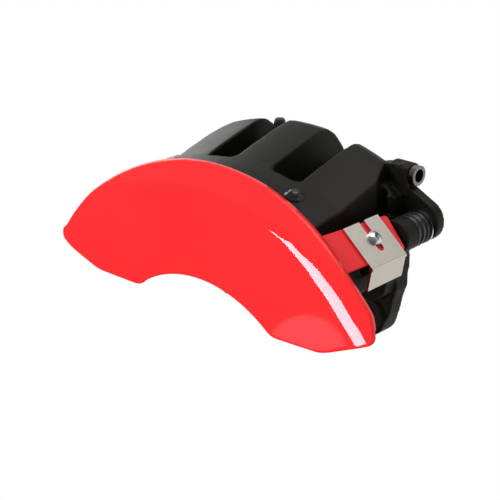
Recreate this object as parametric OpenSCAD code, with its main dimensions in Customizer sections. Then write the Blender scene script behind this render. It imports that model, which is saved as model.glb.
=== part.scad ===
// Twin-piston sliding brake caliper with its carrier bracket, pads and a clipped-on dress cover.
// Working frame inside the modules: brake disc axis = Y, disc mid-plane = y 0,
// -Y is the outboard side (cover), +Y the inboard side (pistons, knuckle), +Z radially up.
// The finished part is moved so that its origin lies midway between the two knuckle bolt holes.

/* [Brake disc it straddles] */
// Outer radius of the brake disc
disc_r = 141; // [139:0.5:142]
// Thickness of the brake disc
disc_t = 24.2; // [22:0.1:24.6]

/* [Knuckle bolt holes] */
// Distance between the two knuckle bolt holes
bolt_spacing = 160; // [156:1:162]
// Radius of the tapped knuckle holes, M12 minor diameter
bolt_hole_r = 5.1; // [4.5:0.1:5.5]

/* [Hydraulic inlet] */
// Radius of the tapped inlet port, M10 x 1 minor radius
port_r = 4.45; // [4:0.05:4.6]

/* [Pistons] */
// Piston radius
piston_r = 22; // [20:0.5:22.5]
// Half the distance between the two bores
bore_x = 27; // [26:0.5:28]
// Radial clearance of a piston in its bore
piston_gap = 0.08; // [0.05:0.01:0.1]

/* [Pads] */
// Thickness of a new friction lining
lining_t = 10; // [8:0.5:10]
// Thickness of a pad's steel back plate
plate_t = 5.5; // [5:0.1:5.6]
// Radial width of a lining, from its inner arc
lining_w = 38; // [34:1:39]

/* [Guide pins] */
// Guide pin radius
pin_r = 4.5; // [4:0.1:4.6]
// Radial clearance of a guide pin in the bracket
pin_gap = 0.08; // [0.05:0.01:0.1]

/* [Dress cover] */
// Sheet thickness of the dress cover
cover_t = 2.5; // [2:0.1:2.6]
// Thickness of the stainless clip
clip_t = 1.5; // [1:0.1:1.6]
// Width of the adjusting slot in each clip
clip_slot = 5.2; // [5.1:0.1:6]

/* [Hidden] */
$fn = 64;
ear_y = 38;                 // inboard face of the knuckle ears
ear_z = 74;                 // height of the knuckle holes
pin_x = 97; pin_z = 132.5;  // guide pin axis
bore_z = 116;               // height of the cylinder bores
port_z = 163.8;             // height of the hose inlet
face_y = disc_t / 2;        // disc face
pad_y = face_y + 0.5;       // lining face, half a millimetre off the disc
plate_y = pad_y + lining_t; // front of the back plate
shim_y = plate_y + plate_t; // front of the shim
back_y = shim_y + 0.6;      // back of the shim
tilt = 40.6;                // tilt of the cover tabs and clips from level
tab_w = 170.5;              // distance of the tab's top face from the disc axis, along its normal

// ---------- helpers ----------
module D() translate([0, -ear_y, -ear_z]) children();
// outline in X and Z, extruded from y0 to y1
module ext(y0, y1) translate([0, y1, 0]) rotate([90, 0, 0]) linear_extrude(y1 - y0) children();
// profile of [y, r] points turned about the disc axis from angle a0 to a1
module rev(p, a0, a1) rotate([90, 0, 0]) rotate([0, 0, a0])
    rotate_extrude(angle = a1 - a0, $fn = 180) polygon([for (q = p) [q[1], -q[0]]]);
// cylinder along Y
module cyl(x, z, r, y0, y1) translate([x, y1, z]) rotate([90, 0, 0]) cylinder(r = r, h = y1 - y0);
// profile of [y, r] points turned about an axis along Y through x, z
module turn(x, z, p) translate([x, 0, z]) rotate([90, 0, 0]) rotate_extrude() polygon([for (q = p) [q[1], -q[0]]]);
module lr() { children(); mirror([1, 0, 0]) children(); }
function arc(r, a0, a1, n = 12, cx = 0, cz = 0) = [for (i = [0:n]) let (a = a0 + (a1 - a0) * i / n) [cx + r * cos(a), cz + r * sin(a)]];
// frame lying on the right-hand tab: x across the tab, y along the disc axis, z outwards
module on_tab() rotate([0, tilt, 0]) children();

// ---------- carrier bracket ----------
module bracket_rail() polygon([[61, 92], [61, 121], [77, 121], [80, 135], [86, 139], [95, 137], [102.6, 126], [102.6, 108], [100, 97], [92, 90], [70, 88]]);
module bracket_leg() polygon([[102.7, 122], [102.7, 98], [99.6, 89], [97.5, 79], [94, 70], [88, 62], [78, 59.5], [64, 55], [50, 49.5], [40.1, 57.4], [48.1, 70.1], [57, 77], [64, 85], [66, 96], [78, 121], [80, 135], [86, 139], [96, 138], [102.7, 132]]);
module carrier_bracket() color([0.13, 0.13, 0.12]) D() difference() {
    union() {
        lr() {
            // arm over the disc's edge
            intersection() {
                rev([[-32, 145], [38, 145], [38, 158], [-32, 158]], 42, 60);
                translate([0, 60, 0]) rotate([90, 0, 0]) linear_extrude(120) polygon([[78, 90], [97, 102], [102.8, 110], [102.8, 170], [78, 170]]);
            }
            // pad rails each side of the disc
            ext(face_y + 1.4, 37) bracket_rail();
            ext(-32, -face_y - 1.4) bracket_rail();
            // inboard leg and knuckle ear
            ext(24, 37) bracket_leg();
            cyl(bolt_spacing / 2, ear_z, 14.5, 22, ear_y);
            // guide pin barrel with its boot collar
            cyl(pin_x, pin_z, 11.5, 27.5, 39);
            cyl(pin_x, pin_z, 9.2, 38, 41);
            cyl(pin_x, pin_z, 7.3, 40, 50);
        }
        // tie beam below the cylinders
        rev([[26, 70], [37, 70], [37, 85], [26, 85]], 54, 126);
    }
    lr() {
        // slots that the pad ears slide in
        ext(face_y, 40) translate([60, 102.4]) square([13.2, 13.2]);
        ext(-40, -face_y) translate([60, 102.4]) square([13.2, 13.2]);
        // blind guide bore
        cyl(pin_x, pin_z, pin_r + pin_gap, 29.5, 55);
        // tapped knuckle hole
        cyl(bolt_spacing / 2, ear_z, bolt_hole_r, 15, 45);
        // lightening pocket in the leg
        ext(32, 45) polygon([[78, 92], [94, 92], [95, 104], [84, 104]]);
    }
}

// thin stainless channels that line the pad slots
module abutment_clip() difference() {
    ext(-31.8, -face_y - 1.6) translate([60.6, 102.6]) square([12.4, 12.8]);
    ext(-40, 0) translate([60, 103.2]) square([12.4, 11.6]);
}
module abutment_clips() color([0.62, 0.62, 0.6]) D() lr() {
    abutment_clip();
    translate([0, 68.8, 0]) difference() {
        ext(-55.1, -31.9) translate([60.6, 102.6]) square([12.4, 12.8]);
        ext(-60, -20) translate([60, 103.2]) square([12.4, 11.6]);
    }
}

// ---------- caliper housing ----------
module bore_profile(s) cyl(s * bore_x, bore_z, piston_r + piston_gap, 30, 76);
module caliper_housing() color([0.16, 0.16, 0.15]) D() difference() {
    union() {
        intersection() {
            union() {
                // bridge over the disc, and the outboard wall behind the cover
                rev([[-44, 146], [-44, 159], [-42.5, 161], [-25, 168], [-12, 169.8], [0, 171], [14, 175], [29, 178.7], [44, 182.3],
                     [52, 183.3], [58, 181.7], [64.6, 177.2], [69.5, 171.3], [73.6, 166], [78, 157], [80, 146]], 50, 130);
            }
            // side faces, drawn in towards the rear
            linear_extrude(400) polygon([[-76, -50], [76, -50], [76, 35], [66.5, 57], [56, 82], [-56, 82], [-66.5, 57], [-76, 35]]);
        }
        // outboard wall with its lower arc, behind the cover
        intersection() {
            rev([[-44, 101.5], [-44, 152], [-29, 152], [-29, 101.5]], 50, 130);
            translate([-58, -50, 60]) cube([116, 40, 100]);
        }
        // the two cylinders and the web between them
        lr() {
            cyl(bore_x, bore_z, 28.5, 33, 82);
            turn(bore_x, bore_z, [[81.9, 0], [81.9, 27], [84.5, 24], [84.5, 0]]);
        }
        translate([-24, 33, 94]) cube([48, 49, 50]);
        // upper body joining cylinders and bridge
        intersection() {
            translate([-56, 33, 112]) cube([112, 47, 40]);
            linear_extrude(400) polygon([[-76, 20], [76, 20], [76, 35], [66.5, 57], [56, 82], [-56, 82], [-66.5, 57], [-76, 35]]);
        }
        // ears that carry the guide pins
        lr() {
            ext(56, 63.8) polygon(concat([[48, 104], [60, 108]], arc(14.1, -64, 62, 14, 96.6, 135.6), [[82, 158.5], [70, 165], [48, 160]]));
            // gusset in front of the ear
            ext(46, 58) polygon([[60, 132], [82, 137], [82, 151], [72, 158], [60, 150]]);
            ext(42.5, 58) polygon([[77, 139], [80, 139], [80, 152], [77, 153]]);
        }
        // hydraulic boss on the right ear
        ext(55, 64) polygon([[56, 150], [56, 163], [64, 168.8], [81.3, 171.6], [85, 167], [86, 158], [86.4, 150]]);
        ext(53.5, 60) polygon([[76, 152], [76, 169], [84, 170], [86, 162], [86, 150]]);
        // round boss of the brake hose inlet
        translate([70, 62, port_z]) rotate([0, 90, 0]) cylinder(r = 7.7, h = 16.1);
        // bleeder boss
        translate([-27.5, 57, 138]) cylinder(r = 8.5, h = 12);
        // small domed pad on the bridge
        translate([50, -16.7, 156]) intersection() { cylinder(r = 5, h = 12); translate([0, 0, -6]) sphere(r = 12.4); }
        // casting ribs down the back of the cylinders
        translate([-3, 60, 96]) cube([6, 22, 54]);
    }
    // cylinder bores, blind at the back
    for (s = [-1, 1]) {
        bore_profile(s);
        cyl(s * bore_x, bore_z, 25.2, 41, 45);      // seal groove
        cyl(s * bore_x, bore_z, 26.4, 30, 37);      // dust boot counterbore
    }
    // the two windows through the bridge, open to the rear above the cylinders
    for (x = [[-40, -15], [17, 42]]) {
        xm = (x[0] + x[1]) / 2; w = x[1] - x[0];
        translate([0, 0, 120]) linear_extrude(80) union() {
            translate([x[0], 2]) square([w, 30.8]);
            translate([x[0] + 6, -4.5]) square([w - 12, 10]);
            for (q = [x[0] + 6, x[1] - 6]) translate([q, 1.5]) circle(r = 6);
        }
        translate([0, 0, 150]) linear_extrude(80) translate([x[0], 30]) square([w, 70]);
    }
    // notch between the reaction fingers
    ext(-60, -20) polygon(concat(arc(12, 180, 0, 12, 0, 108), [[12, 60], [-12, 60]]));
    // guide bolt holes through the ears
    lr() cyl(pin_x, pin_z, 3.6, 50, 80);
    // fluid passage joining the bores and feeding the bleeder and the hose fitting
    translate([-bore_x - 4, 72, bore_z + 6]) rotate([0, 90, 0]) cylinder(r = 2.5, h = 2 * bore_x + 8);
    translate([-27.5, 57, 134]) cylinder(r = 1.5, h = 30);
    translate([-27.5, 57, 140.8]) cylinder(r = 4.1, h = 30);
    // socket for the inlet bush, and the passage from it to the right-hand bore
    translate([75.9, 62, port_z]) rotate([0, 90, 0]) cylinder(r = 5.95, h = 30);
    translate([77, 61, port_z]) rotate([0, -134, 0]) cylinder(r = 1.8, h = 52);
}

// ---------- hydraulic pieces ----------
module piston(s) difference() {
    turn(s * bore_x, bore_z, [[back_y + 0.35, 0], [back_y + 0.35, piston_r - 1], [back_y + 1.2, piston_r - 0.2], [back_y + 2.4, piston_r - 0.2],
        [back_y + 2.4, piston_r - 1.8], [back_y + 4.6, piston_r - 1.8], [back_y + 4.6, piston_r], [72, piston_r], [73.5, piston_r - 1.5], [73.5, 0]]);
    turn(s * bore_x, bore_z, [[20, 0], [20, piston_r - 6], [62, piston_r - 6], [65, piston_r - 9], [65, 0]]);
}
module piston_left() color([0.72, 0.7, 0.64]) D() piston(-1);
module piston_right() color([0.72, 0.7, 0.64]) D() piston(1);
module piston_seals() color([0.08, 0.08, 0.08]) D() for (s = [-1, 1])
    turn(s * bore_x, bore_z, [[41.3, piston_r + 0.04], [41.3, 25.1], [44.7, 25.1], [44.7, piston_r + 0.04]]);
module piston_boot(s) turn(s * bore_x, bore_z, [[back_y + 2.7, piston_r - 1.5], [back_y + 2.7, piston_r + 0.6], [32, piston_r + 1.4], [33.4, piston_r + 0.6],
    [34.6, piston_r + 1.2], [34.6, piston_r + 3.2], [33.2, piston_r + 3.4], [33.2, 26.3], [36.9, 26.3], [36.9, piston_r + 1.9], [35.8, piston_r + 1.9],
    [35.8, piston_r + 0.3], [32.2, piston_r + 0.3], [back_y + 4.3, piston_r - 0.4], [back_y + 4.3, piston_r - 1.5]]);
module piston_boot_left() color([0.07, 0.07, 0.07]) D() piston_boot(-1);
module piston_boot_right() color([0.07, 0.07, 0.07]) D() piston_boot(1);
module bleeder_screw() color([0.55, 0.5, 0.36]) D() translate([-27.5, 57, 0]) difference() {
    union() {
        translate([0, 0, 141]) cylinder(r1 = 1.6, r2 = 4, h = 3);
        translate([0, 0, 143.9]) cylinder(r = 4, h = 9.1);
        translate([0, 0, 152]) cylinder(r = 5.2, h = 1.5);
        translate([0, 0, 153.5]) cylinder(r = 5.4, h = 6.5, $fn = 6);
        translate([0, 0, 160]) cylinder(r = 3.1, h = 5);
        translate([0, 0, 165]) cylinder(r = 2.6, h = 3);
        translate([0, 0, 168]) cylinder(r1 = 3.6, r2 = 2.4, h = 6);
    }
    translate([0, 0, 147]) cylinder(r = 1.1, h = 40);
}
module bleeder_cap() color([0.1, 0.1, 0.1]) D() translate([-27.5, 57, 0]) rotate_extrude()
    polygon([[3.3, 161], [5.2, 161], [5.2, 164.5], [4.6, 165.5], [4.6, 170], [4.9, 171], [4.1, 178], [3.2, 180], [0, 180.4], [0, 175], [2.9, 175], [3.9, 168], [3.3, 167]]);
module hose_fitting() color([0.6, 0.58, 0.54]) D() translate([0, 62, port_z]) rotate([0, 90, 0]) difference() {
    union() {
        translate([0, 0, 86.2]) cylinder(r = 6.8, h = 3.8);
        translate([0, 0, 76]) cylinder(r = 5.9, h = 11);
    }
    // tapped port, M10 x 1 at its minor radius, and the drilling behind it
    translate([0, 0, 79]) cylinder(r = port_r, h = 20);
    translate([0, 0, 70]) cylinder(r = 1.5, h = 12);
}

// ---------- guide pins ----------
module guide_pin(s) lr2(s) difference() {
    turn(pin_x, pin_z, [[30.2, 0], [30.2, pin_r - 1], [31.2, pin_r - 0.9], [40, pin_r - 0.9], [40, pin_r], [53.9, pin_r], [53.9, 11.4], [55.98, 11.4], [55.98, 0]]);
    cyl(pin_x, pin_z, 3.35, 40, 60);
}
module lr2(s) { if (s > 0) children(); else mirror([1, 0, 0]) children(); }
module guide_pin_left() color([0.66, 0.66, 0.64]) D() guide_pin(-1);
module guide_pin_right() color([0.66, 0.66, 0.64]) D() guide_pin(1);
module guide_pin_bolts() color([0.5, 0.5, 0.47]) D() lr() {
    cyl(pin_x, pin_z, 3.3, 41, 66);
    cyl(pin_x, pin_z, 7.4, 63.82, 64.9);
    translate([pin_x, 69.2, pin_z]) rotate([90, 0, 0]) cylinder(r = 6.9, h = 4.6, $fn = 6);
}
module pin_bushing() color([0.1, 0.1, 0.1]) D() lr2(-1)
    turn(pin_x, pin_z, [[31.6, pin_r - 0.88], [31.6, pin_r + 0.03], [39.8, pin_r + 0.03], [39.8, pin_r - 0.88]]);
module guide_boot(s) lr2(s) turn(pin_x, pin_z, [[39.2, 9.25], [39.2, 11.4], [41.6, 11.4], [42.4, 10.2], [43.6, 10.2], [44.6, 11.5], [46.2, 11.5], [47.2, 10], [48.6, 10], [49.6, 11.3],
    [51.2, 11.3], [52, 10.2], [53.7, 10.2], [53.7, 5.2], [52.4, 5.2], [52.4, 8.6], [50.6, 9.8], [50, 9.8], [48.8, 8.6], [47.2, 8.6], [46, 10], [45, 10], [43.8, 8.6], [42, 8.6], [41.5, 9.25]]);
module guide_boot_left() color([0.06, 0.06, 0.06]) D() guide_boot(-1);
module guide_boot_right() color([0.06, 0.06, 0.06]) D() guide_boot(1);

// ---------- pads ----------
lin_r0 = 99; lin_r1 = lin_r0 + lining_w;
module plate_2d() polygon(concat(arc(lin_r1 + 3, 63.5, 116.5, 16), [[-60.6, 120], [-60.6, 114.2], [-70.5, 114.2], [-70.5, 103.8], [-60.6, 103.8], [-57, 80]],
    arc(lin_r0 - 1, 124, 56, 16), [[57, 80], [60.6, 103.8], [70.5, 103.8], [70.5, 114.2], [60.6, 114.2], [60.6, 120]]));
module lining_2d() difference() {
    polygon(concat(arc(lin_r1, 66, 114, 16), arc(lin_r0 + 1, 122, 58, 16)));
    translate([-1.5, 95]) square([3, 60]);
}
module pad_plate() difference() { ext(plate_y, shim_y) plate_2d(); }
module flip_y() mirror([0, 1, 0]) children();
module inner_pad_plate() color([0.2, 0.2, 0.2]) D() pad_plate();
module inner_pad_lining() color([0.34, 0.32, 0.3]) D() ext(pad_y, plate_y) lining_2d();
module inner_pad_shim() color([0.5, 0.5, 0.5]) D() ext(shim_y, back_y) polygon(concat(arc(lin_r1 + 1, 66, 114, 16), arc(lin_r0 + 2, 121, 59, 16)));
module outer_pad_plate() color([0.2, 0.2, 0.2]) D() flip_y() pad_plate();
module outer_pad_lining() color([0.34, 0.32, 0.3]) D() flip_y() ext(pad_y, plate_y) lining_2d();
module outer_pad_shim() color([0.5, 0.5, 0.5]) D() flip_y() ext(shim_y, back_y) polygon(concat(arc(lin_r1 + 1, 66, 114, 16), arc(lin_r0 + 2, 121, 59, 16)));
// spring-steel squealer riveted to the inner pad, its tip 2 mm above the plate's wear limit
module wear_indicator() color([0.6, 0.6, 0.58]) D() {
    translate([-57.8, plate_y - 1, 88]) cube([3.2, 1, 8]);
    translate([-57.8, plate_y - 8, 87.4]) cube([3.2, 8, 1]);
}

// ---------- dress cover ----------
// outline of the cover seen along the disc axis
module cover_2d() polygon(concat(
    arc(175, 39.6, 145.4, 48), arc(6, 152, 250, 10, -142.9, 93.4), [[-111.5, 76.9], [-105, 75.6], [-68, 75.8], [-63, 77.2]],
    arc(97.3, 123.8, 52.2, 36, -5), [[58.5, 75.4], [62, 75.2], [97, 77], [104, 79.3]], arc(6, -67, 24, 10, 132.4, 98.8)));
// everything behind the cover's front surface: a flat face, a shallow bevel about the disc axis,
// and a steeper bevel about a lower axis that runs out towards the tips
module cover_front() intersection() {
    ext(-47.5, 0) cover_2d();
    rev(concat([[0, 0], [-47.5, 0], [-47.5, 156]], [for (a = [2:2:14]) [-47.5 + 20 * (1 - cos(a)), 156 + 20 * sin(a)]],
        [[-42.5, 178.5], [-30, 215], [0, 215]]), 24, 156);
    translate([0, 0, -48]) rev([[0, 60], [-60, 60], [-60, 197.2], [-43.5, 213.7], [0, 257]], 36, 144);
}
module caliper_cover() color([0.95, 0.09, 0.09]) D() difference() {
    union() {
        difference() {
            cover_front();
            translate([0, cover_t, 0]) cover_front();
            // back edge of the rim
            translate([-200, -31.5, 0]) cube([400, 40, 250]);
        }
        // lip along the inner arc
        translate([-5, 0, 0]) rev([[-46.9, 98.4], [-46.1, 96.1], [-41.5, 95.9], [-41.5, 98.1], [-44.8, 98.5], [-45.6, 99.7]], 55, 121);
        // the two tabs that the clips bolt to
        lr() on_tab() translate([0, 0, tab_w - cover_t]) linear_extrude(cover_t)
            polygon([[-31, -43], [-3, -43], [-0.8, 21], [-2, 22.4], [-25, 26.4], [-26.6, 25]]);
    }
    // clip bolt holes
    lr() on_tab() translate([-14.9, 2, 150]) cylinder(r = 3.2, h = 40);
}

// ---------- cover clips ----------
module cover_clip() on_tab() difference() {
    union() {
        translate([-28.8, -16, tab_w]) cube([31.2, 34.5, clip_t]);
        // flap turned down over the end of the bracket arm
        translate([2.4, -16, tab_w + clip_t]) rotate([0, 60, 0]) translate([0, 0, -clip_t]) cube([16.4, 34.5, clip_t]);
        translate([2.4, 18.5, tab_w]) rotate([90, 0, 0]) cylinder(r = clip_t, h = 34.5);
    }
    translate([-40, 2 - clip_slot / 2, tab_w - 5]) cube([40 - 8.2, clip_slot, 20]);
    translate([-8.2, 2, tab_w - 5]) cylinder(r = clip_slot / 2, h = 20);
}
module cover_clip_left() color([0.62, 0.6, 0.56]) D() mirror([1, 0, 0]) cover_clip();
module cover_clip_right() color([0.62, 0.6, 0.56]) D() cover_clip();
module cover_bolts() color([0.72, 0.73, 0.75]) D() lr() on_tab() translate([-14.9, 2, 0]) difference() {
    union() {
        translate([0, 0, tab_w + clip_t]) cylinder(r = 4.9, h = 1.2);
        translate([0, 0, tab_w + clip_t + 1]) intersection() { cylinder(r = 4.4, h = 3); translate([0, 0, -4]) sphere(r = 6.8); }
        translate([0, 0, tab_w - 8]) cylinder(r = 2.5, h = 10);
    }
    translate([0, 0, tab_w + clip_t + 0.9]) cylinder(r = 2.2, h = 5, $fn = 6);
}
module cover_nuts() color([0.6, 0.6, 0.6]) D() lr() on_tab() translate([-14.9, 2, tab_w - cover_t - 4.4]) difference() {
    cylinder(r = 4.6, h = 4.4, $fn = 6);
    translate([0, 0, -1]) cylinder(r = 2.5, h = 8);
}

carrier_bracket();
caliper_housing();
piston_left();
piston_right();
piston_seals();
piston_boot_left();
piston_boot_right();
guide_pin_left();
guide_pin_right();
guide_pin_bolts();
pin_bushing();
guide_boot_left();
guide_boot_right();
inner_pad_plate();
inner_pad_lining();
inner_pad_shim();
wear_indicator();
outer_pad_plate();
outer_pad_lining();
outer_pad_shim();
abutment_clips();
bleeder_screw();
bleeder_cap();
hose_fitting();
caliper_cover();
cover_clip_left();
cover_clip_right();
cover_bolts();
cover_nuts();
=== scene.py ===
import math

import bmesh
import bpy
from mathutils import Matrix, Vector
from mathutils.geometry import delaunay_2d_cdt


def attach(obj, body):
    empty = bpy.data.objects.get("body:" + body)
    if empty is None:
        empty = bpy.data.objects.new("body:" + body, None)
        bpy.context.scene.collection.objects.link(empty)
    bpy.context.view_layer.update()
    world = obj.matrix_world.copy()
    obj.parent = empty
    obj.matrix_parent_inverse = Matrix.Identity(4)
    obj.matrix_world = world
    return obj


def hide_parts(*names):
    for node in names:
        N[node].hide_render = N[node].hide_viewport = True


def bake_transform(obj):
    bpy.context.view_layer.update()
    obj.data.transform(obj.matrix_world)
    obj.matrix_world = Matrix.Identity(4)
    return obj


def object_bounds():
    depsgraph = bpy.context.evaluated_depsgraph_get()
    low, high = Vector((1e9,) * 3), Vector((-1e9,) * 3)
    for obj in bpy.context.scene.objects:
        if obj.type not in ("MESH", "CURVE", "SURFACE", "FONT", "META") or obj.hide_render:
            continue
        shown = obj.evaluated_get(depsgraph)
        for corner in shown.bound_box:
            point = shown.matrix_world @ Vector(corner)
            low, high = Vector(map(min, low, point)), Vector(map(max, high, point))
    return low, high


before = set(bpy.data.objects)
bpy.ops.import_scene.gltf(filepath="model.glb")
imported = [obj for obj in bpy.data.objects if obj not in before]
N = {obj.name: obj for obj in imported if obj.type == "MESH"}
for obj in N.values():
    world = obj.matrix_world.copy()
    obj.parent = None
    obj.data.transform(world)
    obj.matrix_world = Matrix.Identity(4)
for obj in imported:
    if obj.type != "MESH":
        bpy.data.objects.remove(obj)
cad_lo, cad_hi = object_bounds()
scene = bpy.context.scene
scene.view_settings.view_transform = "Standard"
scene.view_settings.look = "None"

# ------------------------------------------------------------------ camera
R = Vector((0.73513, 0.67791, -0.00462)).normalized()
F = Vector((-0.62858, 0.67905, -0.37918)).normalized()
U = R.cross(F).normalized()
cam_data = bpy.data.cameras.new("camera")
cam = bpy.data.objects.new("camera", cam_data)
scene.collection.objects.link(cam)
cam.matrix_world = Matrix((
    (R.x, U.x, -F.x, 0.619748),
    (R.y, U.y, -F.y, -0.711614),
    (R.z, U.z, -F.z, 0.406712),
    (0, 0, 0, 1),
))
cam_data.lens = 104.865
cam_data.sensor_width = 36
cam_data.clip_start = 0.01
scene.camera = cam


# ------------------------------------------------------------------ materials
class Mat:
    """A Principled material whose colour, roughness and bump come from nodes in the row frame."""

    def __init__(self, name, **sockets):
        self.m = bpy.data.materials.new(name)
        self.m.use_nodes = True
        self.t = self.m.node_tree
        self.t.nodes.clear()
        self.out = self.t.nodes.new("ShaderNodeOutputMaterial")
        self.b = self.t.nodes.new("ShaderNodeBsdfPrincipled")
        self.t.links.new(self.b.outputs[0], self.out.inputs[0])
        self.co = self.t.nodes.new("ShaderNodeTexCoord").outputs["Object"]
        self.height = None
        for k, v in sockets.items():
            self.b.inputs[k.replace("_", " ")].default_value = v

    def scaled(self, sx, sy, sz, rot=(0, 0, 0)):
        n = self.t.nodes.new("ShaderNodeMapping")
        n.inputs["Scale"].default_value = (sx, sy, sz)
        n.inputs["Rotation"].default_value = rot
        self.t.links.new(self.co, n.inputs[0])
        return n.outputs[0]

    def noise(self, scale, detail=4, rough=0.5, at=None, distort=0):
        n = self.t.nodes.new("ShaderNodeTexNoise")
        n.inputs["Scale"].default_value = scale
        n.inputs["Detail"].default_value = detail
        n.inputs["Roughness"].default_value = rough
        n.inputs["Distortion"].default_value = distort
        self.t.links.new(at or self.co, n.inputs["Vector"])
        return n.outputs[0]

    def voronoi(self, scale, out="Distance"):
        n = self.t.nodes.new("ShaderNodeTexVoronoi")
        n.inputs["Scale"].default_value = scale
        self.t.links.new(self.co, n.inputs["Vector"])
        return n.outputs[out]

    def ramp(self, value, stops):
        n = self.t.nodes.new("ShaderNodeValToRGB")
        e = n.color_ramp.elements
        e[0].position, e[0].color = stops[0][0], self.rgba(stops[0][1])
        e[1].position, e[1].color = stops[1][0], self.rgba(stops[1][1])
        for p, c in stops[2:]:
            x = e.new(p)
            x.color = self.rgba(c)
        self.t.links.new(value, n.inputs[0])
        return n.outputs[0]

    @staticmethod
    def rgba(c):
        return (c, c, c, 1) if isinstance(c, (int, float)) else (*c, 1)

    def mix(self, fac, a, b, kind="MIX"):
        n = self.t.nodes.new("ShaderNodeMix")
        n.data_type = "RGBA"
        n.blend_type = kind
        for s, v in ((0, fac), (6, a), (7, b)):
            if isinstance(v, (int, float)) and s == 0:
                n.inputs[s].default_value = v
            elif isinstance(v, (int, float, tuple)):
                n.inputs[s].default_value = self.rgba(v)
            else:
                self.t.links.new(v, n.inputs[s])
        return n.outputs[2]

    def math(self, op, a, b=0.0, clamp=False):
        n = self.t.nodes.new("ShaderNodeMath")
        n.operation = op
        n.use_clamp = clamp
        for s, v in ((0, a), (1, b)):
            if isinstance(v, (int, float)):
                n.inputs[s].default_value = v
            else:
                self.t.links.new(v, n.inputs[s])
        return n.outputs[0]

    def highlight_pointiness(self):
        """Mesh curvature, used to paint a highlight along convex edges."""
        return self.t.nodes.new("ShaderNodeNewGeometry").outputs["Pointiness"]

    def to(self, socket, value):
        self.t.links.new(value, self.b.inputs[socket])
        return self

    def bump(self, value, strength, distance):
        n = self.t.nodes.new("ShaderNodeBump")
        n.inputs["Strength"].default_value = strength
        n.inputs["Distance"].default_value = distance
        self.t.links.new(value, n.inputs["Height"])
        if self.height is not None:
            self.t.links.new(self.height, n.inputs["Normal"])
        self.height = n.outputs[0]
        self.t.links.new(self.height, self.b.inputs["Normal"])
        return self


def gloss_red():
    k = Mat("cover_paint", Roughness=0.5, Specular_IOR_Level=0.0, Coat_Weight=0.62, Coat_Roughness=0.035, Coat_IOR=1.5)
    cloud = k.noise(9, 3)
    k.to("Base Color", k.ramp(cloud, [(0.3, (0.93, 0.024, 0.027)), (0.7, (0.97, 0.029, 0.032))]))
    k.to("Roughness", k.ramp(k.noise(160, 4), [(0.3, 0.45), (0.7, 0.56)]))
    return k.m


def cast(name, dark, light, rough_lo, rough_hi, grain=1.0):
    k = Mat(name, Specular_IOR_Level=0.18, Specular_Tint=(1.0, 0.94, 0.88, 1.0))
    cloud = k.noise(26, 5, 0.6)
    fine = k.noise(700, 3, 0.7)
    base = k.ramp(cloud, [(0.3, dark), (0.72, light)])
    # painted highlight: convex edges are lightened in the base colour, standing in for the light they would catch
    edges = k.ramp(k.highlight_pointiness(), [(0.515, 0.0), (0.58, 1.0)])
    base = k.mix(k.math("MULTIPLY", edges, 0.35), base, tuple(2.6 * c for c in light))
    dust = k.ramp(k.voronoi(150), [(0.03, 1.0), (0.05, 0.0)])
    gate = k.ramp(k.noise(55, 2), [(0.66, 0.0), (0.72, 1.0)])
    base = k.mix(k.math("MULTIPLY", k.math("MULTIPLY", dust, gate), 0.5), base, (0.16, 0.15, 0.14))
    k.to("Base Color", base)
    k.to("Roughness", k.mix(fine, k.ramp(cloud, [(0.3, rough_lo), (0.7, rough_hi)]), k.ramp(fine, [(0.3, rough_lo), (0.7, rough_hi)])))
    k.bump(k.noise(1500, 2, 0.6), 0.30 * grain, 0.00022)
    k.bump(k.noise(330, 4, 0.6), 0.25 * grain, 0.0005)
    return k.m


def brushed(name, colour, along, roughness=(0.24, 0.36), rot=(0, 0, 0), metal=1.0, strength=0.14):
    """Metal with fine grinding lines: along gives the noise scale on each axis, small along the lines."""
    k = Mat(name, Metallic=metal)
    lines = k.noise(1.0, 3, 0.6, k.scaled(*along, rot))
    cloud = k.noise(45, 4)
    k.to("Base Color", k.mix(0.5, k.ramp(lines, [(0.3, tuple(0.86 * c for c in colour)), (0.7, colour)]),
                             k.ramp(cloud, [(0.3, tuple(0.9 * c for c in colour)), (0.7, tuple(min(1, 1.05 * c) for c in colour))])))
    k.to("Roughness", k.mix(0.5, k.ramp(lines, [(0.25, roughness[0]), (0.75, roughness[1])]), k.ramp(cloud, [(0.3, roughness[0]), (0.7, roughness[1])])))
    k.bump(lines, strength, 0.0002)
    return k.m


def plated(name, colour, rough=(0.14, 0.3), tint=None):
    k = Mat(name, Metallic=1.0)
    cloud, fine = k.noise(120, 5, 0.6), k.noise(900, 2)
    base = k.ramp(cloud, [(0.3, tuple(0.82 * c for c in colour)), (0.7, colour)])
    if tint:
        base = k.mix(k.math("MULTIPLY", k.ramp(k.noise(60, 3), [(0.5, 0.0), (0.7, 1.0)]), 0.4), base, tint)
    k.to("Base Color", base)
    k.to("Roughness", k.ramp(k.math("ADD", k.math("MULTIPLY", cloud, 0.6), k.math("MULTIPLY", fine, 0.4)), [(0.3, rough[0]), (0.7, rough[1])]))
    k.bump(fine, 0.06, 0.0001)
    return k.m


def rubbery(name, base=(0.012, 0.012, 0.013), rough=(0.22, 0.42)):
    k = Mat(name, Specular_IOR_Level=0.6)
    cloud = k.noise(90, 4)
    k.to("Base Color", k.ramp(cloud, [(0.3, base), (0.75, tuple(1.9 * c for c in base))]))
    k.to("Roughness", k.ramp(k.noise(240, 4), [(0.3, rough[0]), (0.7, rough[1])]))
    k.bump(k.noise(1100, 3), 0.12, 0.0002)
    return k.m


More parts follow.
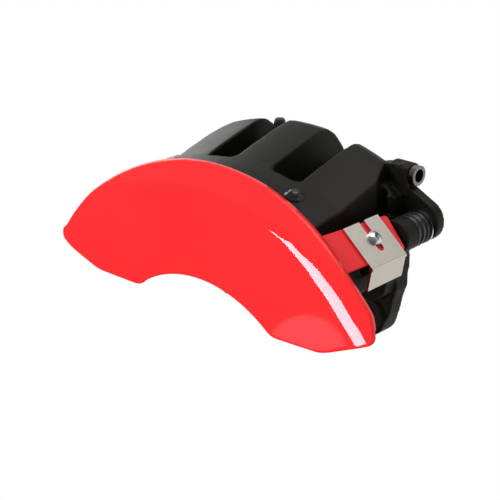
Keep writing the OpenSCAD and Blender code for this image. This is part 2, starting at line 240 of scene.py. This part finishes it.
def friction():
    k = Mat("lining", Specular_IOR_Level=0.3)
    speck = k.voronoi(900, "Color")
    grain = k.noise(1300, 3)
    base = k.ramp(grain, [(0.3, (0.035, 0.032, 0.03)), (0.7, (0.11, 0.1, 0.095))])
    flakes = k.ramp(k.noise(620, 2), [(0.62, 0.0), (0.68, 1.0)])
    base = k.mix(k.math("MULTIPLY", flakes, 0.7), base, (0.32, 0.25, 0.17))
    k.to("Base Color", k.mix(0.15, base, speck, "MULTIPLY"))
    k.to("Roughness", k.ramp(grain, [(0.3, 0.8), (0.7, 0.95)]))
    k.bump(grain, 0.5, 0.0004)
    return k.m


M = {
    "cover_paint": gloss_red(),
    "cast_black": cast("cast_black", (0.0062, 0.0061, 0.0052), (0.0112, 0.0108, 0.0092), 0.36, 0.5),
    "bracket_black": cast("bracket_black", (0.0068, 0.0066, 0.0058), (0.0125, 0.012, 0.0105), 0.4, 0.6, 1.5),
    "stainless": brushed("stainless", (0.80, 0.74, 0.66), (90, 1500, 2400), (0.24, 0.42), strength=0.3),
    "bolt_steel": plated("bolt_steel", (0.82, 0.84, 0.87), (0.06, 0.14)),
    "zinc": plated("zinc", (0.86, 0.86, 0.84), (0.16, 0.3)),
    "nub_black": rubbery("nub_black", (0.008, 0.008, 0.007), (0.1, 0.16)),
    "dark_steel": plated("dark_steel", (0.30, 0.275, 0.25), (0.2, 0.36), (0.16, 0.13, 0.1)),
    "piston_steel": brushed("piston_steel", (0.66, 0.65, 0.62), (2400, 60, 2400), (0.12, 0.2), strength=0.05),
    "rubber": rubbery("rubber"),
    "boot_rubber": rubbery("boot_rubber", (0.010, 0.0105, 0.012), (0.12, 0.24)),
    "plate_paint": cast("plate_paint", (0.018, 0.018, 0.018), (0.032, 0.032, 0.031), 0.5, 0.66, 0.7),
    "lining": friction(),
    "shim_steel": brushed("shim_steel", (0.4, 0.4, 0.39), (1800, 1800, 90), (0.32, 0.46)),
}
USE = {
    "caliper_housing": "cast_black", "carrier_bracket": "bracket_black", "abutment_clips": "stainless",
    "cover_clip_left": "stainless", "cover_clip_right": "stainless", "cover_bolts": "bolt_steel", "cover_nuts": "zinc",
    "guide_pin_left": "zinc", "guide_pin_right": "zinc", "guide_pin_bolts": "zinc", "pin_bushing": "rubber",
    "piston_left": "piston_steel", "piston_right": "piston_steel", "piston_seals": "rubber",
    "hose_fitting": "dark_steel", "bleeder_screw": "dark_steel", "bleeder_cap": "rubber",
    "inner_pad_plate": "plate_paint", "outer_pad_plate": "plate_paint", "inner_pad_lining": "lining", "outer_pad_lining": "lining",
    "inner_pad_shim": "shim_steel", "outer_pad_shim": "shim_steel", "wear_indicator": "stainless",
}
for node, mat in USE.items():
    N[node].data.materials.clear()
    N[node].data.materials.append(M[mat])


# ------------------------------------------------------------------ finishing of CAD nodes
def rounded(node, voxel, passes):
    """A casting or moulding: edges melt a little, as from a mould."""
    o = N[node]
    m = o.modifiers.new("skin", "REMESH")
    m.mode = "VOXEL"
    m.voxel_size = voxel
    m.use_smooth_shade = True
    s = o.modifiers.new("soften", "SMOOTH")
    s.factor = 0.5
    s.iterations = passes


def bevelled(node, width, segments=2, angle=35):
    """A pressed or machined piece: every sharp edge gets a small round that catches the light."""
    o = N[node]
    b = o.modifiers.new("edge", "BEVEL")
    b.width = width
    b.segments = segments
    b.limit_method = "ANGLE"
    b.angle_limit = math.radians(angle)
    b.use_clamp_overlap = True
    b.harden_normals = False
    b.miter_outer = "MITER_ARC"


rounded("caliper_housing", 0.00095, 4)
rounded("carrier_bracket", 0.00095, 4)
for n, w in (("cover_clip_left", 0.00022), ("cover_clip_right", 0.00022), ("cover_nuts", 0.0003), ("cover_bolts", 0.00018),
             ("guide_pin_bolts", 0.0003), ("abutment_clips", 0.00012), ("hose_fitting", 0.0004), ("bleeder_screw", 0.0002),
             ("inner_pad_plate", 0.0004), ("outer_pad_plate", 0.0004), ("inner_pad_shim", 0.00012), ("outer_pad_shim", 0.00012),
             ("inner_pad_lining", 0.0006), ("outer_pad_lining", 0.0006), ("piston_left", 0.0003), ("piston_right", 0.0003),
             ("wear_indicator", 0.00015)):
    bevelled(n, w)


# ------------------------------------------------------------------ helpers for new meshes
EY, EZ = 0.038, 0.074                     # disc axis and mid-plane, from the row frame's origin


def new_piece(name, verts, faces, mat, smooth=True):
    me = bpy.data.meshes.new(name)
    me.from_pydata(verts, [], faces)
    bm = bmesh.new()
    bm.from_mesh(me)
    bmesh.ops.remove_doubles(bm, verts=bm.verts, dist=1e-7)
    bmesh.ops.recalc_face_normals(bm, faces=bm.faces)
    bm.to_mesh(me)
    bm.free()
    if smooth:
        me.shade_smooth()
    o = bpy.data.objects.new(name, me)
    scene.collection.objects.link(o)
    me.materials.append(M[mat])
    return o


def lathe(name, profile, x, z, mat, steps=96):
    """Closed profile of (y, r) in disc-frame millimetres, turned about an axis along Y through x, z."""
    n = len(profile)
    verts, faces = [], []
    for i in range(steps):
        a = 2 * math.pi * i / steps
        for y, r in profile:
            verts.append(((x + r * math.cos(a)) / 1000, y / 1000 - EY, (z + r * math.sin(a)) / 1000 - EZ))
    for i in range(steps):
        j = (i + 1) % steps
        for k in range(n):
            l = (k + 1) % n
            faces.append((i * n + k, j * n + k, j * n + l, i * n + l))
    return new_piece(name, verts, faces, mat)


def rounded_profile(points, radius=0.5, steps=4):
    """A closed profile whose corners are replaced with small arcs."""
    out = []
    n = len(points)
    for i in range(n):
        p0, p, p1 = (Vector(points[(i + d) % n]) for d in (-1, 0, 1))
        a, b = p0 - p, p1 - p
        cut = min(radius, 0.45 * a.length, 0.45 * b.length)
        s, e = p + a.normalized() * cut, p + b.normalized() * cut
        for k in range(steps + 1):
            t = k / steps
            q = (1 - t) ** 2 * s + 2 * t * (1 - t) * p + t * t * e
            out.append((q.x, q.y))
    return out


# ------------------------------------------------------------------ guide pin boots: three folds each
def guide_boot(side):
    x = side * 97
    outer = [(39.2, 9.3), (39.2, 11.2), (40.0, 11.5), (41.4, 11.5), (42.3, 10.3), (43.3, 10.2), (44.2, 11.3), (45.4, 11.6), (46.5, 11.3),
             (47.3, 10.2), (48.4, 10.1), (49.3, 11.1), (50.4, 11.4), (51.5, 11.0), (52.3, 10.1), (53.7, 10.1)]
    inner = [(53.7, 5.2), (52.4, 5.2), (52.4, 8.6), (51.0, 9.7), (49.9, 9.8), (48.8, 8.6), (47.2, 8.6), (46.0, 10.0), (45.0, 10.0),
             (43.8, 8.6), (42.0, 8.6), (41.5, 9.25)]
    name = "guide_boot_" + ("right" if side > 0 else "left")
    o = lathe(name + "_rubber", rounded_profile(outer + inner, 0.55), x, 132.5, "boot_rubber", 96)
    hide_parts(name)
    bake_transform(o)


def piston_boot(side):
    x = side * 27
    pr, b = 22.0, 28.7
    prof = [(b + 2.7, pr - 1.5), (b + 2.7, pr + 0.6), (32, pr + 1.4), (33.4, pr + 0.6), (34.6, pr + 1.2), (34.6, pr + 3.2), (33.2, pr + 3.4), (33.2, 26.3),
            (36.9, 26.3), (36.9, pr + 1.9), (35.8, pr + 1.9), (35.8, pr + 0.3), (32.2, pr + 0.3), (b + 4.3, pr - 0.4), (b + 4.3, pr - 1.5)]
    name = "piston_boot_" + ("right" if side > 0 else "left")
    o = lathe(name + "_rubber", rounded_profile(prof, 0.3), x, 116, "boot_rubber", 96)
    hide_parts(name)
    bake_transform(o)


for side in (-1, 1):
    guide_boot(side)
    piston_boot(side)


# ------------------------------------------------------------------ dress cover
def arc(r, a0, a1, n, cx=0.0, cz=0.0):
    return [(cx + r * math.cos(math.radians(a0 + (a1 - a0) * i / n)), cz + r * math.sin(math.radians(a0 + (a1 - a0) * i / n))) for i in range(n + 1)]


def interp(x, table):
    if x <= table[0][0]:
        return table[0][1]
    for (x0, y0), (x1, y1) in zip(table, table[1:]):
        if x <= x1:
            t = (x - x0) / (x1 - x0)
            t = t * t * (3 - 2 * t)
            return y0 + (y1 - y0) * t
    return table[-1][1]


OUT = (arc(175, 39.6, 145.4, 48) + arc(6, 152, 250, 10, -142.9, 93.4) + [(-111.5, 76.9), (-105, 75.6), (-68, 75.8), (-63, 77.2)]
       + arc(97.3, 123.8, 52.2, 36, -5, 0) + [(58.5, 75.4), (62, 75.2), (97, 77), (104, 79.3)] + arc(6, -67, 24, 10, 132.4, 98.8))


def dense(loop, step):
    """The closed loop, softened at its corners and resampled evenly."""
    pts = [Vector(p) for p in loop]
    for _ in range(2):                                  # corner cutting keeps the arcs and rounds what is sharp
        nxt = []
        for i, p in enumerate(pts):
            q = pts[(i + 1) % len(pts)]
            cut = min(0.25, 1.5 / max((q - p).length, 1e-6))
            nxt += [p.lerp(q, cut), p.lerp(q, 1 - cut)]
        pts = nxt
    lengths = [(pts[(i + 1) % len(pts)] - p).length for i, p in enumerate(pts)]
    total = sum(lengths)
    n = round(total / step)
    out, i, run = [], 0, 0.0
    for k in range(n):
        want = total * k / n
        while run + lengths[i] < want:
            run += lengths[i]
            i += 1
        out.append(pts[i].lerp(pts[(i + 1) % len(pts)], (want - run) / max(lengths[i], 1e-9)))
    return out


# the shallow bend: its inner radius and its width change towards the tips
BEND_R = [(34, 154.6), (38, 154.0), (42, 153.2), (51, 154.4), (59, 156.9), (67, 159.4), (90, 160.5)]
BEND_W = [(30, 12.0), (36, 12.5), (45, 12.5), (53, 11.0), (60, 7.0), (67, 2.6), (75, 3.0), (90, 5.0)]


def front_y(x, z):
    """Depth of the cover's front face, in the disc frame, in millimetres."""
    r = math.hypot(x, z)
    a = math.degrees(math.atan2(z, abs(x)))
    r0, w = interp(a, BEND_R), interp(a, BEND_W)
    tilt = math.radians(14)
    if r <= r0:
        y = -47.5
    elif r < r0 + w:
        t = (r - r0) / w
        y = -47.5 + w * math.tan(tilt) * t * t * 0.5
    else:
        y = -47.5 + w * math.tan(tilt) * 0.5 + (r - r0 - w) * math.tan(tilt)
    r2 = math.hypot(x, z + 48)
    k = 1.2                                             # blends the steeper bevel in over about a millimetre
    y3 = -60 + (r2 - 197.2)
    return y if y3 < y - 4 * k else (y + y3) / 2 + math.sqrt(((y - y3) / 2) ** 2 + k * k * 0.12)


def build_cover():
    step = 1.1
    edge = dense(OUT, step)
    n = len(edge)
    normals = []
    for i in range(n):
        t = edge[(i + 1) % n] - edge[i - 1]
        normals.append(Vector((-t.y, t.x)).normalized())       # the outline runs anticlockwise, so this points inwards
    area = sum(edge[i].x * edge[(i + 1) % n].y - edge[(i + 1) % n].x * edge[i].y for i in range(n))
    if area < 0:
        normals = [-v for v in normals]
    RAD = 1.3                                           # rounding of the front edge
    rows = [0.0, 0.1, 0.3, 0.6, 0.95, 1.3]

    def sag(d):
        return RAD - math.sqrt(max(0.0, RAD * RAD - (RAD - d) ** 2)) if d < RAD else 0.0

    pts = [edge[i] + normals[i] * d for d in rows for i in range(n)]
    dist = [d for d in rows for i in range(n)]
    segs = []
    for k in range(len(rows)):
        segs += [(k * n + i, k * n + (i + 1) % n) for i in range(n)]
    # interior points on rings about the disc axis, closer together across the bend
    import numpy as np
    E = np.array([(p.x, p.y) for p in edge])
    EN = np.roll(E, -1, 0)

    def inside_dist(q):
        d = EN - E
        t = np.clip(((q - E) * d).sum(1) / np.maximum((d * d).sum(1), 1e-12), 0, 1)
        near = np.hypot(*(E + d * t[:, None] - q).T).min()
        cross = ((E[:, 1] > q[1]) != (EN[:, 1] > q[1])) & (q[0] < (EN[:, 0] - E[:, 0]) * (q[1] - E[:, 1]) / np.where(EN[:, 1] == E[:, 1], 1e-9, EN[:, 1] - E[:, 1]) + E[:, 0])
        return near if cross.sum() % 2 else -near

    ring = []
    r = 78.0
    while r < 176:
        ring.append(r)
        r += 0.8 if 151 < r < 168 else 2.0
    for k, r in enumerate(ring):
        da = math.degrees((1.5 if 151 < r < 168 else 2.4) / r)
        m = int(140 / da)
        for i in range(m + 1):
            a = math.radians(20 + 140 * (i + 0.5 * (k % 2)) / m)
            q = np.array((r * math.cos(a), r * math.sin(a)))
            if abs(q[0]) < 152 and inside_dist(q) > 1.9:
                pts.append(Vector(q))
                dist.append(9.0)
    co, _, faces, orig, _, _ = delaunay_2d_cdt([Vector((p[0], p[1])) for p in pts], segs, [], 0, 1e-5)
    keep = []
    for f in faces:
        c = sum((co[v] for v in f), Vector((0, 0))) / len(f)
        if inside_dist(np.array((c.x, c.y))) > 0:
            keep.append(tuple(f))
    D = [min((dist[o] for o in src), default=9.0) for src in orig]
    T = 2.5
    verts, out = [], []
    for p, d in zip(co, D):
        verts.append((p.x / 1000, (front_y(p.x, p.y) + sag(d)) / 1000 - EY, p.y / 1000 - EZ))
    nf = len(verts)

    def back(p, d):
        """Back face: sheet thickness behind the front, and the folded lip along the inner arc."""
        a = math.degrees(math.atan2(p.y, p.x))
        y = front_y(p.x, p.y) + T
        r = math.hypot(p.x, p.y)
        a = math.degrees(math.atan2(p.y, p.x + 5))
        if 55 < a < 121 and math.hypot(p.x + 5, p.y) < 100.2 and d < 5:
            y = -41.5
        elif r > 172 and d < 5:
            y = max(y, min(y + 1.2, -31.6))
        return y

    for p, d in zip(co, D):
        verts.append((p.x / 1000, back(p, d) / 1000 - EY, p.y / 1000 - EZ))
    out += keep
    out += [tuple(nf + v for v in reversed(f)) for f in keep]
    edges = {}
    for f in keep:
        for i in range(len(f)):
            e = (f[i], f[(i + 1) % len(f)])
            edges[e] = edges.get(e, 0) + 1
    for (a, b) in edges:
        if (b, a) not in edges:
            out.append((b, a, nf + a, nf + b))
    return verts, out


def tab(side):
    """One mounting tab: a plate with rounded corners and the bolt's hole, in the tilted frame of the clip."""
    tilt = math.radians(40.6)
    outline = rounded_profile([(-31, -43), (-3, -43), (-0.8, 21), (-2, 22.4), (-25, 26.4), (-26.6, 25)], 1.6, 5)
    hole = [(-14.9 + 3.2 * math.cos(2 * math.pi * i / 40), 2 + 3.2 * math.sin(2 * math.pi * i / 40)) for i in range(40)]
    pts = [Vector(p) for p in outline] + [Vector(p) for p in hole]
    n1, n2 = len(outline), len(hole)
    segs = [(i, (i + 1) % n1) for i in range(n1)] + [(n1 + i, n1 + (i + 1) % n2) for i in range(n2)]
    co, _, faces, _, _, _ = delaunay_2d_cdt(pts, segs, [], 1, 1e-6)
    keep = [f for f in faces if (sum((co[v] for v in f), Vector((0, 0))) / len(f) - Vector((-14.9, 2))).length > 3.15]
    verts, out = [], []

    def place(u, v, w):
        x = u * math.cos(tilt) + w * math.sin(tilt)
        z = -u * math.sin(tilt) + w * math.cos(tilt)
        return (side * x / 1000, v / 1000 - EY, z / 1000 - EZ)

    for w in (170.5, 168.0):
        verts += [place(p.x, p.y, w) for p in co]
    m = len(co)
    out += [tuple(f) for f in keep] + [tuple(m + v for v in reversed(f)) for f in keep]
    edges = {(f[i], f[(i + 1) % len(f)]) for f in keep for i in range(len(f))}
    out += [(b, a, m + a, m + b) for (a, b) in edges if (b, a) not in edges]
    o = new_piece("cover_tab_" + ("right" if side > 0 else "left"), verts, out, "cover_paint", smooth=False)
    b = o.modifiers.new("edge", "BEVEL")
    b.width, b.segments, b.limit_method, b.angle_limit = 0.0005, 3, "ANGLE", math.radians(40)
    w = o.modifiers.new("normals", "WEIGHTED_NORMAL")
    w.keep_sharp = False
    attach(o, "carrier")


# ------------------------------------------------------------------ the cast nub on the bridge, with its runout ring
def nub():
    cx, cy = 50.0, -16.7
    prof = [(0.0, 165.9), (1.2, 165.82), (2.4, 165.55), (3.4, 165.0), (4.1, 164.2), (4.5, 163.3), (5.3, 162.7), (6.3, 162.2), (6.6, 161.4), (6.6, 158.5), (0.0, 158.5)]
    steps, verts, faces = 48, [], []
    for i in range(steps):
        a = 2 * math.pi * i / steps
        for r, z in prof:
            verts.append(((cx + r * math.cos(a)) / 1000, (cy + r * math.sin(a)) / 1000 - EY, z / 1000 - EZ))
    n = len(prof)
    for i in range(steps):
        j = (i + 1) % steps
        for k in range(n):
            faces.append((i * n + k, j * n + k, j * n + (k + 1) % n, i * n + (k + 1) % n))
    # leans with the bridge, which falls away towards the side
    tilt = Matrix.Translation((cx / 1000, cy / 1000 - EY, 0.161 - EZ)) @ Matrix.Rotation(math.radians(13), 4, "Y") @ Matrix.Rotation(math.radians(6), 4, "X") @ Matrix.Translation((-cx / 1000, -cy / 1000 + EY, -0.161 + EZ))
    verts = [tuple(tilt @ Vector(v)) for v in verts]
    o = new_piece("bridge_nub", verts, faces, "nub_black")
    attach(o, "caliper")


nub()
v, f = build_cover()
cover = new_piece("cover_shell", v, f, "cover_paint")
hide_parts("caliper_cover")
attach(cover, "carrier")
tab(1)
tab(-1)

# ------------------------------------------------------------------ floor, world and lights
lo = cad_lo
floor = new_piece("floor", [(-6, -6, lo.z - 0.0006), (6, -6, lo.z - 0.0006), (6, 6, lo.z - 0.0006), (-6, 6, lo.z - 0.0006)], [(0, 1, 2, 3)], "zinc", False)
fm = Mat("floor_pale", Roughness=0.85, Specular_IOR_Level=0.1)
fm.to("Base Color", fm.ramp(fm.noise(3, 3), [(0.3, (0.86, 0.86, 0.86)), (0.7, (0.88, 0.88, 0.88))]))
floor.data.materials.clear()
floor.data.materials.append(fm.m)
floor.visible_glossy = False
floor.visible_camera = False

world = bpy.data.worlds.new("studio")
scene.world = world
world.use_nodes = True
wt = world.node_tree
wt.nodes.clear()
wo = wt.nodes.new("ShaderNodeOutputWorld")
bg = wt.nodes.new("ShaderNodeBackground")
sep = wt.nodes.new("ShaderNodeSeparateXYZ")
wt.links.new(wt.nodes.new("ShaderNodeTexCoord").outputs["Generated"], sep.inputs[0])


def sky(stops, axis):
    m = wt.nodes.new("ShaderNodeMapRange")
    m.inputs["From Min"].default_value, m.inputs["From Max"].default_value = -1, 1
    wt.links.new(sep.outputs[axis], m.inputs["Value"])
    r = wt.nodes.new("ShaderNodeValToRGB")
    e = r.color_ramp.elements
    for k in (0, 1):
        e[k].position, e[k].color = stops[k][0], (stops[k][1],) * 3 + (1,)
    for p, c in stops[2:]:
        e.new(p).color = (c,) * 3 + (1,)
    wt.links.new(m.outputs[0], r.inputs[0])
    return r.outputs[0]


back = sky([(0.0, 0.62), (0.42, 0.85), (0.5, 1.0), (0.57, 0.9), (0.66, 0.34), (0.74, 0.32), (0.80, 0.72), (0.9, 0.72), (1.0, 0.45)], "Z")
ahead = sky([(0.0, 0.09), (0.45, 0.10), (0.62, 0.16), (1.0, 0.30)], "Z")
side = sky([(0.47, 0.0), (0.62, 1.0)], "Y")
mixed = wt.nodes.new("ShaderNodeMix")
mixed.data_type = "RGBA"
wt.links.new(side, mixed.inputs[0])
wt.links.new(ahead, mixed.inputs[6])
wt.links.new(back, mixed.inputs[7])
wt.links.new(mixed.outputs[2], bg.inputs[0])
bg.inputs[1].default_value = 0.95
white = wt.nodes.new("ShaderNodeBackground")          # what the camera sees behind the object
white.inputs[0].default_value = (1, 1, 1, 1)
seen = wt.nodes.new("ShaderNodeMixShader")
wt.links.new(wt.nodes.new("ShaderNodeLightPath").outputs["Is Camera Ray"], seen.inputs[0])
wt.links.new(bg.outputs[0], seen.inputs[1])
wt.links.new(white.outputs[0], seen.inputs[2])
wt.links.new(seen.outputs[0], wo.inputs[0])


def area(name, at, target, size, power, size_y=None, shape="RECTANGLE", up=None, glossy_only=False):
    d = bpy.data.lights.new(name, "AREA")
    d.shape = shape
    d.size = size
    d.size_y = size_y or size
    d.energy = power
    o = bpy.data.objects.new(name, d)
    scene.collection.objects.link(o)
    zaxis = (Vector(at) - Vector(target)).normalized()
    if up is None:
        o.rotation_euler = (Vector(target) - Vector(at)).to_track_quat("-Z", "Y").to_euler()
        o.location = at
    else:
        yaxis = (Vector(up) - zaxis * Vector(up).dot(zaxis)).normalized()
        xaxis = yaxis.cross(zaxis)
        o.matrix_world = Matrix(((xaxis.x, yaxis.x, zaxis.x, at[0]), (xaxis.y, yaxis.y, zaxis.y, at[1]), (xaxis.z, yaxis.z, zaxis.z, at[2]), (0, 0, 0, 1)))
    o.visible_camera = False
    if glossy_only:
        o.visible_diffuse = False
    return o


# big soft key from the front left, a wide top light, and a rim light from behind on the left
area("key", (-0.9, -1.9, 1.5), (0, 0, 0.03), 1.3, 54).visible_glossy = False
area("top", (0.25, 0.3, 1.7), (0, 0, 0.03), 1.2, 9)
area("rim", (-1.6, 0.55, 0.55), (0, 0, 0.05), 0.9, 7.5)
# two strips that only mirror in the paint: one along the bend, one in the lower right lobe
area("strip_bend", (-0.355, -0.935, -0.225), (0.10, -0.085, 0.045), 0.34, 9.6, size_y=0.32, up=(-0.757, 0.154, 0.632), glossy_only=True)
area("strip_lobe", (-0.497, -0.773, -0.452), (0.085, -0.085, 0.012), 0.11, 0.045, shape="DISK", glossy_only=True)
for name in ("strip_bend", "strip_lobe"):
    bpy.data.lights[name].color = (1.0, 0.89, 1.0)
